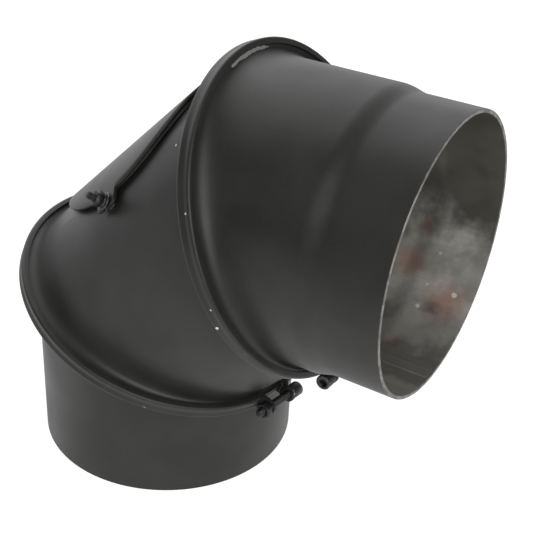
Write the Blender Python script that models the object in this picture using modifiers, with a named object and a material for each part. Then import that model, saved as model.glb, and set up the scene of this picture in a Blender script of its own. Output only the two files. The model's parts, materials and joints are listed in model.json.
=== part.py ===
"""Swivelling flue elbow for 150 mm stovepipe.

Three mitred tube segments, each with round turned-out rims, are held rim to rim by two
U-section clamp rings. Turning the segments in the rings takes the elbow from straight to
90 degrees. The middle segment has an oval inspection opening in its heel, closed by a
rolled cover on two studs. All sizes are in metres, +Z is up, and the elbow stands on the
end of its lower segment with its outlet towards +X.
"""
import math

import bmesh
import bpy

# Pipe and bend
PIPE_BORE = 0.150            # inside diameter of the pipe
WALL = 0.002                 # sheet thickness of the segments
MITRE = math.radians(22.5)   # each rim plane leans this much; four mitres make 90 degrees
LOWER_LEG = 0.088            # pipe end to the centre of the lower rim
MIDDLE_LENGTH = 0.116        # between the two rim centres, along the middle segment
UPPER_LEG = 0.088            # centre of the upper rim to the mouth
SPIGOT_PLAY = 0.001          # the drawn-down outlet end is this much smaller than the bore
SPIGOT_LENGTH = 0.033        # straight part of the drawn-down end
SPIGOT_TAPER = 0.013         # length over which the tube is drawn down

# Rims, clamp rings and seals
RIM_LIP = 0.00466            # how far the round rims stand past the tube at the heel
RIM_GAP = 0.0012             # between two facing rims
FLARE_LENGTH = 0.015         # length over which a tube flares out towards its rim
FLARE_ROOM = 0.8             # share of the plain tube at the throat that a flare may take
FLARE_SHARE = 0.8            # share of the rim under its clamp ring that the flare takes
SEAL_WIDTH = 0.003
CLEARANCE = 0.0003           # between pieces that touch
BAND_SHEET = 0.0012          # sheet thickness of the clamp rings
BAND_DEPTH = 0.0016          # how far the U grips inward over the rims
BAND_SHOULDER = 0.0012       # size of the rounded outer corners
BAND_GROOVE = 0.0005         # depth of the rolled groove round the crest
LUG_GAP = 0.016              # between the two bent-out ends
LUG_SHEET = 0.002
LUG_HALF_WIDTH = 0.0045
LOWER_CLAMP_TURN = math.radians(-6.9)
UPPER_CLAMP_TURN = math.radians(-1.3)

# Fasteners, all M5
THREAD = 0.005
CLAMP_SCREW_LENGTH = 0.029   # under the head
SCREW_HEAD_DIAMETER = 0.0085
SCREW_HEAD_HEIGHT = 0.008
SOCKET_ACROSS_FLATS = 0.004
SOCKET_DEPTH = 0.003
NUT_ACROSS_FLATS = 0.008
NUT_HEIGHT = 0.005
COVER_NUT_HEIGHT = 0.004
WASHER_DIAMETER = 0.010
WASHER_THICKNESS = 0.001
SPRING_WASHER_DIAMETER = 0.0090
SPRING_WASHER_THICKNESS = 0.0012
THREAD_PLAY = 0.0003         # between a thread and what is screwed on to it

# Inspection opening and its cover, as laid out flat before rolling
OPENING_LENGTH = 0.101       # along the segment
OPENING_WIDTH = 0.087        # round the heel
GASKET_OVERLAP = 0.003       # from the edge of the opening to the gasket
GASKET_WIDTH = 0.007
GASKET_THICKNESS = 0.0015
COVER_LAP = 0.013            # how far the cover reaches past the opening
COVER_SHEET = 0.002
STUD_FROM_OPENING = 0.018    # stud centre past the side of the opening
TAB_HALF_WIDTH = 0.0078
TAB_PAST_STUD = 0.0040
STUD_PAST_NUT = 0.004

ROUND_STEPS = 60             # facets round the tubes and rings
SMALL_STEPS = 16             # facets round the fasteners
BEND_STEPS = 3               # facets across the bend from tube to rim

TUBE_RADIUS = PIPE_BORE / 2 + WALL
SPIGOT_RADIUS = (PIPE_BORE - SPIGOT_PLAY) / 2
RIM_RADIUS = TUBE_RADIUS / math.cos(MITRE) + RIM_LIP
BAND_INSIDE_HALF = RIM_GAP / 2 + WALL + CLEARANCE
BAND_OUTSIDE_HALF = BAND_INSIDE_HALF + BAND_SHEET
BAND_CREST_INSIDE = RIM_RADIUS + CLEARANCE + BAND_GROOVE
BAND_CREST = BAND_CREST_INSIDE + BAND_SHEET
BAND_FOOT = RIM_RADIUS - BAND_DEPTH
LUG_OUTSIDE = LUG_GAP / 2 + LUG_SHEET
# Plain tube below the rim centre, on the segment that has the least of it.
PLAIN_TUBE = min(LOWER_LEG, MIDDLE_LENGTH / 2, UPPER_LEG - SPIGOT_LENGTH - SPIGOT_TAPER)
# The screw passes outside the crest, with its head and the flats of its nut clear of it.
SCREW_RADIUS = BAND_CREST + max(NUT_ACROSS_FLATS, SCREW_HEAD_DIAMETER) / 2

GASKET_INSIDE_RADIUS = TUBE_RADIUS + CLEARANCE
COVER_INSIDE_RADIUS = GASKET_INSIDE_RADIUS + GASKET_THICKNESS + CLEARANCE
COVER_RADIUS = COVER_INSIDE_RADIUS + COVER_SHEET
STUD_ARC = OPENING_WIDTH / 2 + STUD_FROM_OPENING
STUD_ANGLE = STUD_ARC / COVER_RADIUS
WASHER_SEAT = COVER_RADIUS + CLEARANCE
SPRING_WASHER_SEAT = WASHER_SEAT + WASHER_THICKNESS + CLEARANCE
COVER_NUT_SEAT = SPRING_WASHER_SEAT + SPRING_WASHER_THICKNESS + CLEARANCE

OUTLET_REACH = MIDDLE_LENGTH * math.sin(2 * MITRE) + UPPER_LEG
HEEL_REACH = BAND_CREST * math.cos(MITRE) + (BAND_OUTSIDE_HALF - BAND_SHOULDER) * math.sin(MITRE)
# The origin is under the middle of the bounding box, so the lower tube's axis lies off it.
LOWER_AXIS_X = (HEEL_REACH - OUTLET_REACH) / 2

STOVE_BLACK = (0.045, 0.045, 0.047)
FASTENER_STEEL = (0.085, 0.085, 0.088)
SEAL_GREY = (0.30, 0.28, 0.25)

for thing in list(bpy.data.objects):
    bpy.data.objects.remove(thing, do_unlink=True)

parts = bpy.data.collections.new("flue_elbow")
cutters = bpy.data.collections.new("flue_elbow_cutters")
bpy.context.scene.collection.children.link(parts)
bpy.context.scene.collection.children.link(cutters)


def material(name, colour, roughness, metallic):
    """A Principled finish for one node."""
    finish = bpy.data.materials.new(name)
    finish.use_nodes = True
    shader = finish.node_tree.nodes["Principled BSDF"]
    shader.inputs["Base Color"].default_value = (*colour, 1.0)
    shader.inputs["Roughness"].default_value = roughness
    shader.inputs["Metallic"].default_value = metallic
    return finish


def painted(name):
    return material(name + "_paint", STOVE_BLACK, 0.55, 0.0)


def blackened(name):
    return material(name + "_steel", FASTENER_STEEL, 0.42, 0.8)


def frame_at(name, parent=None, location=(0, 0, 0), rotation=(0, 0, 0)):
    """An empty that carries the pieces of one body."""
    empty = bpy.data.objects.new(name, None)
    parts.objects.link(empty)
    empty.parent = parent
    empty.location = location
    empty.rotation_euler = rotation
    return empty


def place(name, mesh, parent, finish=None, location=(0, 0, 0), rotation=(0, 0, 0), home=parts):
    """A new object under its frame, with its own finish."""
    thing = bpy.data.objects.new(name, mesh)
    home.objects.link(thing)
    thing.parent = parent
    thing.location = location
    thing.rotation_euler = rotation
    if finish is not None:
        mesh.materials.append(finish)
    return thing


def smooth(mesh, angle=35):
    mesh.shade_smooth()
    mesh.set_sharp_from_angle(angle=math.radians(angle))


def mesh_from(name, build):
    """A mesh filled by build(bm)."""
    mesh = bpy.data.meshes.new(name)
    bm = bmesh.new()
    build(bm)
    bm.to_mesh(mesh)
    bm.free()
    smooth(mesh)
    return mesh


def turned(name, profile, parent, finish, steps, closed=True, **where):
    """A profile of (radius, height) points turned about the piece's own Z axis."""
    def build(bm):
        corners = [bm.verts.new((radius, 0.0, height)) for radius, height in profile]
        for first, second in zip(corners, corners[1:]):
            bm.edges.new((first, second))
        if closed:
            bm.edges.new((corners[-1], corners[0]))
    piece = place(name, mesh_from(name, build), parent, finish, **where)
    screw = piece.modifiers.new("turned", "SCREW")
    screw.axis = "Z"
    screw.angle = 2 * math.pi
    screw.steps = steps
    screw.render_steps = steps
    screw.use_merge_vertices = True
    screw.merge_threshold = 0.00001
    return piece


def cut(piece, cutter, operation="DIFFERENCE"):
    """Cuts, or joins, with another object that isn't part of the elbow."""
    cutter.hide_render = True
    cutter.display_type = "WIRE"
    boolean = piece.modifiers.new(cutter.name, "BOOLEAN")
    boolean.operation = operation
    boolean.solver = "EXACT"
    boolean.object = cutter


def prism(name, sides, radius, length, parent, location=(0, 0, 0), rotation=(0, 0, 0)):
    """A cylinder or a hexagonal bar, used as a cutter."""
    def build(bm):
        bmesh.ops.create_cone(bm, cap_ends=True, segments=sides, radius1=radius,
                              radius2=radius, depth=length)
    return place(name, mesh_from(name, build), parent, None, location, rotation, cutters)


# ---------------------------------------------------------------- segments

def loop_rows(bm, rows):
    """Joins rows of points, each a closed loop, with quads from first to last."""
    loops = [[bm.verts.new(point) for point in row] for row in rows]
    for lower, upper in zip(loops, loops[1:]):
        count = len(lower)
        for i in range(count):
            j = (i + 1) % count
            bm.faces.new((lower[i], lower[j], upper[j], upper[i]))


def rim_rows():
    """The outer surface from the tube up through its bend to the edge of the round rim.

    The rim plane passes the origin and leans by MITRE towards +X. The tube, on the Z axis,
    meets it in an ellipse, and the rim's edge is a circle, so the rim is widest at the sides
    and narrow at the throat and the heel.
    """
    outer_face = -(RIM_GAP / 2 + WALL)
    throat = (math.cos(MITRE), 0.0, -math.sin(MITRE))
    normal = (math.sin(MITRE), 0.0, math.cos(MITRE))
    rows = [[] for _ in range(BEND_STEPS + 2)]
    for step in range(ROUND_STEPS):
        turn = 2 * math.pi * step / ROUND_STEPS
        x = TUBE_RADIUS * math.cos(turn)
        y = TUBE_RADIUS * math.sin(turn)
        corner = (x, y, (outer_face - normal[0] * x) / normal[2])
        along = sum((corner[k] - outer_face * normal[k]) * throat[k] for k in range(3))
        reach = math.hypot(along, y)
        outward = [(along * throat[k] + (0.0, y, 0.0)[k]) / reach for k in range(3)]
        flare = min(FLARE_LENGTH, FLARE_ROOM * (PLAIN_TUBE + corner[2]))
        start = (corner[0], corner[1], corner[2] - flare)
        rim_part = FLARE_SHARE * (BAND_FOOT - reach)
        end = [corner[k] + rim_part * outward[k] for k in range(3)]
        for row in range(BEND_STEPS + 1):
            t = row / BEND_STEPS
            rows[row].append([(1 - t) ** 2 * start[k] + 2 * t * (1 - t) * corner[k]
                              + t * t * end[k] for k in range(3)])
        rows[-1].append([corner[k] + (RIM_RADIUS - reach) * outward[k] for k in range(3)])
    return rows


def tube_row(radius, height):
    return [(radius * math.cos(2 * math.pi * i / ROUND_STEPS),
             radius * math.sin(2 * math.pi * i / ROUND_STEPS), height)
            for i in range(ROUND_STEPS)]


def segment(name, plain_rows, parent, **where):
    """A tube with one rim. plain_rows run from its far end up towards the rim."""
    mesh = mesh_from(name, lambda bm: loop_rows(bm, plain_rows + rim_rows()))
    piece = place(name, mesh, parent, painted(name), **where)
    return piece


def thicken(piece, inward):
    sheet = piece.modifiers.new("sheet", "SOLIDIFY")
    sheet.thickness = inward
    sheet.offset = -1.0
    sheet.use_even_offset = True


base = frame_at("elbow_base", location=(LOWER_AXIS_X, 0, 0))
lower_axis = frame_at("lower_swivel_axis", base, (0, 0, LOWER_LEG), (0, MITRE, 0))
half = MIDDLE_LENGTH / 2
middle_frame = frame_at("middle_frame", lower_axis,
                        (half * math.sin(MITRE), 0, half * math.cos(MITRE)), (0, MITRE, 0))
upper_axis = frame_at("upper_swivel_axis", middle_frame, (0, 0, half), (0, MITRE, 0))

lower_segment = segment("lower_segment", [tube_row(TUBE_RADIUS, -LOWER_LEG)], base,
                        location=(0, 0, LOWER_LEG))
thicken(lower_segment, WALL)

middle_segment = segment("middle_segment", [tube_row(TUBE_RADIUS, -half)], middle_frame,
                         location=(0, 0, half))
mirror_plane = frame_at("middle_mirror_plane", middle_frame)
mirror = middle_segment.modifiers.new("other_rim", "MIRROR")
mirror.use_axis = (False, False, True)
mirror.mirror_object = mirror_plane
mirror.merge_threshold = 0.00001
thicken(middle_segment, WALL)

taper_end = -UPPER_LEG + SPIGOT_LENGTH
upper_segment = segment("upper_segment",
                        [tube_row(SPIGOT_RADIUS, -UPPER_LEG),
                         tube_row(SPIGOT_RADIUS, taper_end),
                         tube_row((SPIGOT_RADIUS + TUBE_RADIUS) / 2, taper_end + SPIGOT_TAPER / 2),
                         tube_row(TUBE_RADIUS, taper_end + SPIGOT_TAPER)],
                        upper_axis, rotation=(math.pi, MITRE, 0))
thicken(upper_segment, WALL)


# ---------------------------------------------------------------- joints

def hexagon_nut(name, height, parent, location, rotation):
    """A plain hexagon nut, centred on its own origin and bored through along its own Z."""
    def blank(bm):
        corner = NUT_ACROSS_FLATS / math.sqrt(3)
        bmesh.ops.create_cone(bm, cap_ends=True, segments=6, radius1=corner, radius2=corner,
                              depth=height)
    nut = place(name, mesh_from(name, blank), parent, blackened(name), location, rotation)
    cut(nut, prism(name + "_bore", SMALL_STEPS, THREAD / 2 + THREAD_PLAY / 2, 2 * height, nut))


def clamp(side, axis_frame, turn, flip):
    """One clamp ring with its screw and nut. flip puts the screw's head on the other side."""
    frame = frame_at(side + "_clamp_frame", axis_frame, rotation=(flip, 0, turn))
    shoulder = BAND_OUTSIDE_HALF - BAND_SHOULDER
    inner_shoulder = BAND_INSIDE_HALF - BAND_SHOULDER / 2
    ring_name = side + "_clamp_ring"
    ring = turned(ring_name, [
        (BAND_CREST - BAND_SHOULDER, BAND_OUTSIDE_HALF),
        (BAND_CREST, shoulder),
        (BAND_CREST, shoulder / 2),
        (BAND_CREST - BAND_GROOVE, 0.0),
        (BAND_CREST, -shoulder / 2),
        (BAND_CREST, -shoulder),
        (BAND_CREST - BAND_SHOULDER, -BAND_OUTSIDE_HALF),
        (BAND_FOOT, -BAND_OUTSIDE_HALF),
        (BAND_FOOT, -BAND_INSIDE_HALF),
        (BAND_CREST_INSIDE - BAND_GROOVE, -BAND_INSIDE_HALF),
        (BAND_CREST_INSIDE, -inner_shoulder),
        (BAND_CREST_INSIDE - BAND_GROOVE, 0.0),
        (BAND_CREST_INSIDE, inner_shoulder),
        (BAND_CREST_INSIDE - BAND_GROOVE, BAND_INSIDE_HALF),
        (BAND_FOOT, BAND_INSIDE_HALF),
        (BAND_FOOT, BAND_OUTSIDE_HALF),
    ], frame, painted(ring_name), ROUND_STEPS)

    lug_foot = BAND_CREST_INSIDE - BAND_GROOVE / 2
    lug_centre_y = LUG_GAP / 2 + LUG_SHEET / 2

    def gap(bm):
        bmesh.ops.create_cube(bm, size=1.0)
        for vert in bm.verts:
            vert.co.x = BAND_FOOT * 1.02 + vert.co.x * BAND_FOOT * 0.12
            vert.co.y *= LUG_GAP
            vert.co.z *= 4 * BAND_OUTSIDE_HALF
    cut(ring, place(side + "_clamp_gap", mesh_from(side + "_clamp_gap", gap), frame,
                    home=cutters))

    def lug(bm):
        """Both bent-out ends: upright tabs with a round top over the screw hole."""
        arc = [math.pi * i / 10 for i in range(11)]
        outline = [(SCREW_RADIUS + LUG_HALF_WIDTH * math.sin(a), LUG_HALF_WIDTH * math.cos(a))
                   for a in arc]
        foot_half = BAND_OUTSIDE_HALF - BAND_SHOULDER
        outline += [(lug_foot, -foot_half), (lug_foot, foot_half)]
        for y in (-lug_centre_y, lug_centre_y):
            face = bm.faces.new([bm.verts.new((x, y - LUG_SHEET / 2, z)) for x, z in outline])
            extruded = bmesh.ops.extrude_face_region(bm, geom=[face])
            moved = [item for item in extruded["geom"] if isinstance(item, bmesh.types.BMVert)]
            bmesh.ops.translate(bm, vec=(0, LUG_SHEET, 0), verts=moved)
        bmesh.ops.recalc_face_normals(bm, faces=bm.faces)
    cut(ring, place(side + "_clamp_lugs", mesh_from(side + "_clamp_lugs", lug), frame,
                    home=cutters), "UNION")
    cut(ring, prism(side + "_clamp_screw_hole", SMALL_STEPS, THREAD / 2 + THREAD_PLAY,
                    4 * lug_centre_y, frame, (SCREW_RADIUS, 0, 0), (math.pi / 2, 0, 0)))

    # The screw's own +Z runs from its tip to its head, along the ring's +Y.
    screw_name = side + "_clamp_screw"
    head = SCREW_HEAD_DIAMETER / 2
    shank = THREAD / 2 - THREAD_PLAY / 2
    chamfer = THREAD / 10
    screw = turned(screw_name, [
        (0.0, SCREW_HEAD_HEIGHT),
        (head - chamfer, SCREW_HEAD_HEIGHT),
        (head, SCREW_HEAD_HEIGHT - chamfer),
        (head, 0.0),
        (shank, 0.0),
        (shank, chamfer - CLAMP_SCREW_LENGTH),
        (shank - chamfer, -CLAMP_SCREW_LENGTH),
        (0.0, -CLAMP_SCREW_LENGTH),
    ], frame, blackened(screw_name), SMALL_STEPS, closed=False,
        location=(SCREW_RADIUS, LUG_OUTSIDE + CLEARANCE, 0), rotation=(-math.pi / 2, 0, 0))
    cut(screw, prism(side + "_screw_socket", 6, SOCKET_ACROSS_FLATS / math.sqrt(3),
                     2 * SOCKET_DEPTH, screw, (0, 0, SCREW_HEAD_HEIGHT)))

    hexagon_nut(side + "_clamp_nut", NUT_HEIGHT, frame,
                (SCREW_RADIUS, -(LUG_OUTSIDE + CLEARANCE + NUT_HEIGHT / 2), 0),
                (math.pi / 2, math.pi / 6, 0))

    seal_name = side + "_joint_seal"
    seal_half = RIM_GAP / 2 - CLEARANCE
    seal_outside = RIM_RADIUS - CLEARANCE
    turned(seal_name, [(seal_outside, seal_half), (seal_outside, -seal_half),
                       (seal_outside - SEAL_WIDTH, -seal_half),
                       (seal_outside - SEAL_WIDTH, seal_half)],
           axis_frame, material(seal_name + "_fibre", SEAL_GREY, 0.9, 0.0), ROUND_STEPS)


clamp("lower", lower_axis, LOWER_CLAMP_TURN, 0.0)
clamp("upper", upper_axis, UPPER_CLAMP_TURN, math.pi)


# ---------------------------------------------------------------- inspection cover

def ellipse(half_length, half_width, count=60):
    """Points (along the segment, round the heel) as laid out flat."""
    return [(half_length * math.cos(2 * math.pi * i / count),
             half_width * math.sin(2 * math.pi * i / count)) for i in range(count)]


def cover_outline():
    """An oval with a square-ended tab at each side, as laid out flat."""
    half_length = OPENING_LENGTH / 2 + COVER_LAP
    half_width = OPENING_WIDTH / 2 + COVER_LAP
    tab_end = STUD_ARC + TAB_PAST_STUD
    corner = TAB_HALF_WIDTH * 0.7
    meet = math.acos(TAB_HALF_WIDTH / half_length)
    steps = 14
    quarter = [(half_length * math.cos(meet * i / steps), half_width * math.sin(meet * i / steps))
               for i in range(steps + 1)]
    quarter += [(TAB_HALF_WIDTH, tab_end - (TAB_HALF_WIDTH - corner)), (corner, tab_end)]
    top = quarter + [(-along, across) for along, across in reversed(quarter)][:-1]
    return top + [(-along, -across) for along, across in top]


def rolled(name, outline, inner_radius, thickness, parent, finish=None, hole=None, home=parts,
           rows=9):
    """A flat blank rolled to the heel: a sheet between two radii, whole or with a hole.

    Points are given along the segment and as an arc at COVER_RADIUS, so that pieces laid
    over each other keep the same edges.
    """
    def on_heel(point, share):
        along, across = point[0] * share, point[1] * share
        return rolled_point(along, across)

    def rolled_point(along, across):
        turn = across / COVER_RADIUS
        return (-inner_radius * math.cos(turn), inner_radius * math.sin(turn), along)

    def build(bm):
        if hole is None:
            centre = bm.verts.new(rolled_point(0, 0))
            shares = [(row + 1) / rows for row in range(rows)]
            loops = [[bm.verts.new(on_heel(point, share)) for point in outline]
                     for share in shares]
            count = len(outline)
            for i in range(count):
                bm.faces.new((centre, loops[0][i], loops[0][(i + 1) % count]))
        else:
            loops = [[bm.verts.new(rolled_point(*point)) for point in ring]
                     for ring in (hole, outline)]
            count = len(outline)
        for inner, outer in zip(loops, loops[1:]):
            for i in range(count):
                j = (i + 1) % count
                bm.faces.new((inner[i], outer[i], outer[j], inner[j]))
    mesh = mesh_from(name, build)
    piece = place(name, mesh, parent, finish, home=home)
    sheet = piece.modifiers.new("sheet", "SOLIDIFY")
    sheet.thickness = thickness
    sheet.offset = 1.0
    return piece


opening = ellipse(OPENING_LENGTH / 2, OPENING_WIDTH / 2)
cut(middle_segment, rolled("inspection_opening", opening, TUBE_RADIUS - 2 * WALL, 4 * WALL,
                           middle_frame, home=cutters))

gasket_inner = ellipse(OPENING_LENGTH / 2 + GASKET_OVERLAP, OPENING_WIDTH / 2 + GASKET_OVERLAP)
gasket_outer = ellipse(OPENING_LENGTH / 2 + GASKET_OVERLAP + GASKET_WIDTH,
                       OPENING_WIDTH / 2 + GASKET_OVERLAP + GASKET_WIDTH)
rolled("cover_gasket", gasket_outer, GASKET_INSIDE_RADIUS, GASKET_THICKNESS, middle_frame,
       material("cover_gasket_fibre", SEAL_GREY, 0.9, 0.0), hole=gasket_inner)

cover = rolled("inspection_cover", cover_outline(), COVER_INSIDE_RADIUS, COVER_SHEET,
               middle_frame, painted("inspection_cover"))


def cover_fixing(side, direction):
    """Stud, washers and nut at one side of the cover; direction is -1 at the front."""
    # The fixing's own +Z points straight out of the heel through the stud.
    frame = frame_at(side + "_stud_frame", middle_frame,
                     rotation=(0, -math.pi / 2, -direction * STUD_ANGLE))
    slot = THREAD / 2 + 2 * THREAD_PLAY

    def slot_outline(bm):
        """A round-ended slot, open at the end of the tab, so the cover lifts off its studs."""
        arc = [math.pi * i / 10 for i in range(11)]
        flat = [(slot * math.cos(a), -direction * slot * math.sin(a)) for a in arc]
        far = direction * 3 * TAB_PAST_STUD
        flat += [(-slot, far), (slot, far)]
        ends = [COVER_RADIUS - 4 * COVER_SHEET, COVER_RADIUS + 4 * COVER_SHEET]
        loops = [[bm.verts.new((along, across, height)) for along, across in flat]
                 for height in ends]
        bm.faces.new(loops[0])
        bm.faces.new(loops[1])
        for i in range(len(flat)):
            j = (i + 1) % len(flat)
            bm.faces.new((loops[0][i], loops[0][j], loops[1][j], loops[1][i]))
        bmesh.ops.recalc_face_normals(bm, faces=bm.faces)
    cut(cover, place(side + "_cover_slot", mesh_from(side + "_cover_slot", slot_outline), frame,
                     home=cutters))

    stud_name = side + "_cover_stud"
    shank = THREAD / 2 - THREAD_PLAY / 2
    stud_top = COVER_NUT_SEAT + COVER_NUT_HEIGHT + STUD_PAST_NUT
    stud_foot = TUBE_RADIUS + CLEARANCE
    chamfer = THREAD / 10
    turned(stud_name, [(0.0, stud_top), (shank - chamfer, stud_top), (shank, stud_top - chamfer),
                       (shank, stud_foot), (0.0, stud_foot)],
           frame, blackened(stud_name), SMALL_STEPS, closed=False)

    bore = THREAD / 2 + THREAD_PLAY / 2
    for kind, seat, thickness, diameter in (
            ("washer", WASHER_SEAT, WASHER_THICKNESS, WASHER_DIAMETER),
            ("spring_washer", SPRING_WASHER_SEAT, SPRING_WASHER_THICKNESS,
             SPRING_WASHER_DIAMETER)):
        name = side + "_" + kind
        turned(name, [(diameter / 2, seat + thickness), (diameter / 2, seat), (bore, seat),
                      (bore, seat + thickness)], frame, blackened(name), SMALL_STEPS)

    hexagon_nut(side + "_cover_nut", COVER_NUT_HEIGHT, frame,
                (0, 0, COVER_NUT_SEAT + COVER_NUT_HEIGHT / 2), (0, 0, math.pi / 6))


cover_fixing("front", -1)
cover_fixing("back", 1)
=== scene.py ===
import json
import math

import bmesh
import bpy
from mathutils import Matrix, Vector


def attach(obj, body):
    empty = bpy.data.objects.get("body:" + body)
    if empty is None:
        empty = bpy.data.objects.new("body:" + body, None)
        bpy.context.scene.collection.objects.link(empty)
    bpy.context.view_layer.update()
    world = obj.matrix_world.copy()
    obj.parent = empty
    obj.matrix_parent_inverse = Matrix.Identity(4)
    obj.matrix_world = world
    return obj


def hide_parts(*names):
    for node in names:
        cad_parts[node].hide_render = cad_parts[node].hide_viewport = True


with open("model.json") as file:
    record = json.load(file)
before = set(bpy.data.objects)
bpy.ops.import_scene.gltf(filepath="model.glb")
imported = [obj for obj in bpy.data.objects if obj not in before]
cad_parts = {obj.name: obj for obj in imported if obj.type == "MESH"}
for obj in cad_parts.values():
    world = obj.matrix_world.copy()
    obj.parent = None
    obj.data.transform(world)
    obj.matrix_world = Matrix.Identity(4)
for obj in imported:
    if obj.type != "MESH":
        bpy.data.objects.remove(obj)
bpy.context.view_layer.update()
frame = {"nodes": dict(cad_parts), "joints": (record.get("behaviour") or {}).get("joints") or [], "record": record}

joints = {joint["name"]: joint for joint in frame["joints"]}
mounts = {mount["name"]: mount for mount in frame["record"]["mounts"]}


# ---------------------------------------------------------------- lower pipe segment
# A tube rolled from 2 mm steel sheet with a lap seam, cut at 22.5 degrees and turned out into a
# round rim. It is sprayed matt heat-resisting black outside, worn through on edges, and is bare
# rolled steel inside, clouded with oil, with painted shade darkening the inside on either side of
# a lighter band.

PAINT_DARK = (0.0105, 0.0105, 0.0095, 1.0)
PAINT_LIGHT = (0.0180, 0.0178, 0.0160, 1.0)
BARE_STEEL = (0.60, 0.585, 0.56, 1.0)
PAINT_ROUGHNESS = (0.40, 0.52)


def start_finish(name):
    """A new material with its node tree and its shader."""
    finish = bpy.data.materials.new(name)
    finish.use_nodes = True
    tree = finish.node_tree
    return finish, tree, tree.nodes["Principled BSDF"]


def plug(tree, socket, value):
    """Links a socket to another node's output, or sets it to a value."""
    if isinstance(value, bpy.types.NodeSocket):
        tree.links.new(value, socket)
    else:
        socket.default_value = value


def maths(tree, operation, first, second=0.0, clamp=False):
    node = tree.nodes.new("ShaderNodeMath")
    node.operation = operation
    node.use_clamp = clamp
    plug(tree, node.inputs[0], first)
    plug(tree, node.inputs[1], second)
    return node.outputs[0]


def between(tree, value, low, high, to_low=0.0, to_high=1.0):
    """A soft step: to_low where value is under low, to_high where it is over high."""
    node = tree.nodes.new("ShaderNodeMapRange")
    node.interpolation_type = "SMOOTHSTEP"
    plug(tree, node.inputs["Value"], value)
    for socket, number in zip(("From Min", "From Max", "To Min", "To Max"),
                              (low, high, to_low, to_high)):
        node.inputs[socket].default_value = number
    return node.outputs["Result"]


def mixed(tree, share, first, second):
    """The colour first, going over to second as share goes from 0 to 1."""
    node = tree.nodes.new("ShaderNodeMix")
    node.data_type = "RGBA"
    plug(tree, node.inputs[0], share)
    plug(tree, node.inputs[6], first)
    plug(tree, node.inputs[7], second)
    return node.outputs[2]


def own_place(tree, axes):
    """The point on the piece, in metres along the piece's own axes."""
    node = tree.nodes.new("ShaderNodeMapping")
    node.vector_type = "TEXTURE"
    tree.links.new(tree.nodes.new("ShaderNodeTexCoord").outputs["Object"], node.inputs["Vector"])
    node.inputs["Location"].default_value = axes.to_translation()
    node.inputs["Rotation"].default_value = axes.to_euler()
    return node.outputs[0]


def stretched(tree, place, by):
    """The same point with each direction multiplied, for grain that runs one way."""
    node = tree.nodes.new("ShaderNodeMapping")
    plug(tree, node.inputs["Vector"], place)
    node.inputs["Scale"].default_value = by
    return node.outputs[0]


def grain(tree, place, per_metre, detail=2.0, roughness=0.5):
    """Soft noise with about per_metre spots to the metre."""
    node = tree.nodes.new("ShaderNodeTexNoise")
    plug(tree, node.inputs["Vector"], place)
    node.inputs["Scale"].default_value = per_metre
    node.inputs["Detail"].default_value = detail
    node.inputs["Roughness"].default_value = roughness
    return node.outputs[0]


def raised(tree, height, metres, below=None):
    """A bump of so many metres for a height of 0 to 1, over any bump below it."""
    node = tree.nodes.new("ShaderNodeBump")
    node.inputs["Strength"].default_value = 1.0
    node.inputs["Distance"].default_value = metres
    plug(tree, node.inputs["Height"], height)
    if below is not None:
        tree.links.new(below, node.inputs["Normal"])
    return node.outputs[0]


def spot(tree, place, centre, radius):
    """1 inside a small ragged spot round a point on the piece, and 0 outside."""
    away = tree.nodes.new("ShaderNodeVectorMath")
    away.operation = "DISTANCE"
    plug(tree, away.inputs[0], place)
    away.inputs[1].default_value = centre
    ragged = maths(tree, "MULTIPLY_ADD", grain(tree, place, 900.0, 1.0), radius)
    ragged.node.inputs[2].default_value = radius * 0.5
    return maths(tree, "LESS_THAN", away.outputs["Value"], ragged)


def on_round(radius, degrees, height):
    """A point at so many degrees round a tube or ring, and at a height along it."""
    turn = math.radians(degrees)
    return (radius * math.cos(turn), radius * math.sin(turn), height)


def stove_paint(name, axes, chips=()):
    """The paint, with chips as (point on the piece, radius) where it is knocked off."""
    finish, tree, shader = start_finish(name)
    place = own_place(tree, axes)
    tone = grain(tree, place, 38.0, 3.0)
    speckle = grain(tree, place, 1500.0, 1.0)
    shade = maths(tree, "ADD", between(tree, tone, 0.35, 0.68, 0.0, 0.7),
                  between(tree, speckle, 0.35, 0.7, 0.0, 0.5), clamp=True)
    colour = mixed(tree, shade, PAINT_DARK, PAINT_LIGHT)

    rubbed = tree.nodes.new("ShaderNodeAttribute")
    rubbed.attribute_name = "rubbed"
    patchy = grain(tree, place, 260.0, 3.0, 0.6)
    bare = between(tree, maths(tree, "ADD", rubbed.outputs["Fac"], patchy), 1.12, 1.28)
    for centre, radius in chips:
        bare = maths(tree, "MAXIMUM", bare, spot(tree, place, centre, radius))

    plug(tree, shader.inputs["Base Color"], mixed(tree, bare, colour, BARE_STEEL))
    plug(tree, shader.inputs["Metallic"], bare)
    sheen = between(tree, grain(tree, place, 16.0, 2.0), 0.3, 0.7, *PAINT_ROUGHNESS)
    smoother = maths(tree, "SUBTRACT", sheen, maths(tree, "MULTIPLY", bare, 0.12))
    plug(tree, shader.inputs["Roughness"], smoother)
    ripple = raised(tree, grain(tree, place, 20.0, 1.0), 0.00025)
    dry = raised(tree, speckle, 0.000018, ripple)
    plug(tree, shader.inputs["Normal"], raised(tree, bare, -0.00006, dry))
    shader.inputs["Specular IOR Level"].default_value = 0.34
    return finish


SHEET_GREY = (0.63, 0.610, 0.575, 1.0)
SHEET_CLOUD = (0.40, 0.387, 0.350, 1.0)
RUST = (0.46, 0.270, 0.205, 1.0)
# Painted shade for the inside: one dark colour is laid where the piece's own X is low and another where it is
# highest, so the band between them stands out as a painted highlight.
PAINTED_SHADE_LOW_X = (0.105, 0.102, 0.086, 1.0)
PAINTED_SHADE_LOW_X_EDGE = (0.004, 0.034)
PAINTED_SHADE_HIGH_X = (0.125, 0.118, 0.105, 1.0)
PAINTED_SHADE_HIGH_X_EDGE = (0.056, 0.070)
SPATTER = (0.80, 0.79, 0.76, 1.0)


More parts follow.
